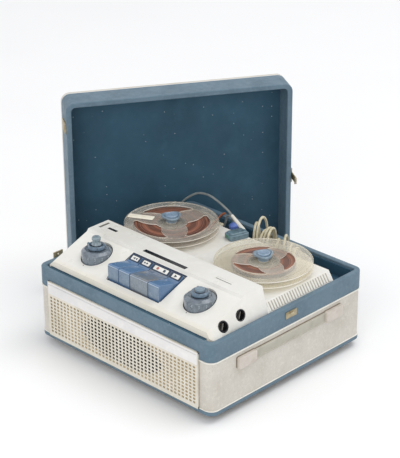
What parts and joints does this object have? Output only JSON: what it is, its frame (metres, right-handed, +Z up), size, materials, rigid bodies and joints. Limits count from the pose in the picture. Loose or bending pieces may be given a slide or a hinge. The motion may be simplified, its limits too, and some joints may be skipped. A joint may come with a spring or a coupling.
{
  "type": "portable valve tape recorder",
  "caption": "Portable reel-to-reel valve tape recorder in a two-tone case with a front grille, piano keys, concentric dials and a lift-off lid standing behind it.",
  "frame": {"origin": "middle of the case's underside, on the bottom board's lower face", "axes": "+X to the right along the front, +Y to the back, +Z up"},
  "size_m": [0.482, 0.4673, 0.325],
  "materials": {
    "pale_leathercloth": "grained leathercloth over plywood",
    "blue_leathercloth": "grained blue leathercloth",
    "dark_lining": "matt dark blue lining paper",
    "hardboard": "pressed board",
    "rubber": "matt",
    "plated_steel": "zinc plated",
    "cream_plastic": "moulded, satin",
    "white_plastic": "moulded, satin",
    "speaker_paper": "pressed paper",
    "grey_steel": "grey lacquer",
    "softwood": "sawn",
    "black_plastic": "moulded",
    "board_laminate": "paper laminate",
    "valve_glass": "clear",
    "aluminium_can": "drawn",
    "brass": "turned",
    "turned_steel": "turned",
    "key_blue": "moulded, gloss",
    "key_grey": "moulded, gloss",
    "dial_plastic": "clear moulded, tinted",
    "table_plastic": "moulded",
    "reel_clear": "clear polystyrene",
    "reel_cream": "yellowed clear polystyrene",
    "tape": "oxide coated",
    "clamp_blue": "moulded",
    "handle_plastic": "grained",
    "dull_brass": "plated, dulled",
    "cream_cord": "sheathed",
    "cream_plug": "moulded",
    "grey_cord": "sheathed",
    "mic_plastic": "moulded",
    "plug_blue": "moulded"
  },
  "bodies": {
    "case": {"case_walls": "pale_leathercloth", "rim_band": "blue_leathercloth", "base_band": "blue_leathercloth", "bottom_board": "hardboard", "rubber_feet": "rubber", "bottom_screws": "plated_steel", "front_grille": "cream_plastic", "speaker_board": "hardboard", "speaker_frame": "grey_steel", "speaker_cone": "speaker_paper", "reel_deck": "white_plastic", "control_panel": "white_plastic", "chassis_plate": "plated_steel", "chassis_posts": "softwood", "storage_tray": "dark_lining", "panel_inserts": "black_plastic", "din_sockets": "black_plastic", "head_assembly": "plated_steel", "motor_body": "grey_steel", "drive_belt": "rubber", "mains_transformer": "grey_steel", "output_transformer": "grey_steel", "amplifier_board": "board_laminate", "valves": "valve_glass", "smoothing_can": "aluminium_can", "control_pots": "plated_steel", "key_axle": "plated_steel", "handle_caps": "handle_plastic", "case_fittings": "dull_brass", "mains_hank": "cream_cord", "mains_plug": "cream_plug", "mic_lead": "grey_cord", "microphone": "mic_plastic", "mic_plug": "plug_blue"},
    "motor": {"motor_pulley": "brass"},
    "flywheel": {"flywheel": "turned_steel"},
    "pinch_lever": {"pinch_lever": "plated_steel"},
    "pinch_roller": {"pinch_roller": "rubber"},
    "rewind_key": {"rewind_key": "key_blue"},
    "forward_key": {"forward_key": "key_blue"},
    "stop_key": {"stop_key": "key_grey"},
    "play_key": {"play_key": "key_blue"},
    "left_skirt": {"left_skirt": "dial_plastic"},
    "left_pointer": {"left_pointer": "dial_plastic"},
    "right_skirt": {"right_skirt": "dial_plastic"},
    "right_pointer": {"right_pointer": "dial_plastic"},
    "supply": {"supply_spindle": "table_plastic", "supply_reel": "reel_clear", "supply_tape": "tape", "supply_clamp": "clamp_blue"},
    "takeup": {"takeup_spindle": "table_plastic", "takeup_reel": "reel_cream", "takeup_tape": "tape", "takeup_clamp": "clamp_blue"},
    "handle": {"handle_strap": "handle_plastic"},
    "lid": {"lid_frame": "blue_leathercloth", "lid_panel": "pale_leathercloth", "lid_lining": "dark_lining", "lid_metalwork": "dull_brass"},
    "lid_catch": {"lid_catch": "dull_brass"}
  },
  "joints": [
    {"name": "lid_pull_away", "type": "slide", "parent": "case", "child": "lid", "axis": [-0.848, 0.5299, 0], "range_m": [0, 0.15]},
    {"name": "lid_catch_swing", "type": "hinge", "parent": "lid", "child": "lid_catch", "pos_m": [-0.07495, 0.28603, 0.1505], "axis": [0, 0, 1], "range_deg": [0, 100]},
    {"name": "handle_pull", "type": "slide", "parent": "case", "child": "handle", "axis": [1, 0, 0], "range_m": [0, 0.003]},
    {"name": "rewind_press", "type": "hinge", "parent": "case", "child": "rewind_key", "pos_m": [0, -0.072, 0.117], "axis": [1, 0, 0], "range_deg": [0, 6], "stiffness_Nm_per_rad": 3, "springref_deg": -3.44},
    {"name": "forward_press", "type": "hinge", "parent": "case", "child": "forward_key", "pos_m": [0, -0.072, 0.117], "axis": [1, 0, 0], "range_deg": [0, 6], "stiffness_Nm_per_rad": 3, "springref_deg": -3.44},
    {"name": "stop_press", "type": "hinge", "parent": "case", "child": "stop_key", "pos_m": [0, -0.072, 0.117], "axis": [1, 0, 0], "range_deg": [0, 6], "stiffness_Nm_per_rad": 3, "springref_deg": -3.44},
    {"name": "play_press", "type": "hinge", "parent": "case", "child": "play_key", "pos_m": [0, -0.072, 0.117], "axis": [1, 0, 0], "range_deg": [0, 6], "stiffness_Nm_per_rad": 3, "springref_deg": -3.44},
    {"name": "left_skirt_turn", "type": "hinge", "parent": "case", "child": "left_skirt", "pos_m": [-0.1065, -0.109, 0.13837], "axis": [0, 0, 1], "range_deg": [-135, 135]},
    {"name": "left_pointer_turn", "type": "hinge", "parent": "case", "child": "left_pointer", "pos_m": [-0.1065, -0.109, 0.13837], "axis": [0, 0, 1], "range_deg": [-140, 140]},
    {"name": "right_skirt_turn", "type": "hinge", "parent": "case", "child": "right_skirt", "pos_m": [0.1065, -0.109, 0.13837], "axis": [0, 0, 1], "range_deg": [-135, 135]},
    {"name": "right_pointer_turn", "type": "hinge", "parent": "case", "child": "right_pointer", "pos_m": [0.1065, -0.109, 0.13837], "axis": [0, 0, 1], "range_deg": [-140, 140]},
    {"name": "supply_spin", "type": "hinge", "parent": "case", "child": "supply", "pos_m": [-0.098, 0.0385, 0.13], "axis": [0, 0, 1], "continuous": true},
    {"name": "takeup_spin", "type": "hinge", "parent": "case", "child": "takeup", "pos_m": [0.092, 0.0385, 0.13], "axis": [0, 0, 1], "continuous": true},
    {"name": "flywheel_spin", "type": "hinge", "parent": "case", "child": "flywheel", "pos_m": [0.028, -0.047, 0.081], "axis": [0, 0, 1], "continuous": true},
    {"name": "motor_spin", "type": "hinge", "parent": "case", "child": "motor", "pos_m": [0.106, 0.01, 0.081], "axis": [0, 0, 1], "continuous": true},
    {"name": "pinch_swing", "type": "hinge", "parent": "case", "child": "pinch_lever", "pos_m": [0.063, -0.062, 0.1], "axis": [0, 0, -1], "range_deg": [0, 4.5]},
    {"name": "pinch_roller_spin", "type": "hinge", "parent": "pinch_lever", "child": "pinch_roller", "pos_m": [0.029, -0.062, 0.138], "axis": [0, 0, 1], "continuous": true}
  ],
  "couplings": [
    {"joint": "motor_spin", "follows": "flywheel_spin", "ratio": 5.8462},
    {"joint": "pinch_swing", "follows": "play_press", "ratio": 0.75}
  ]
}
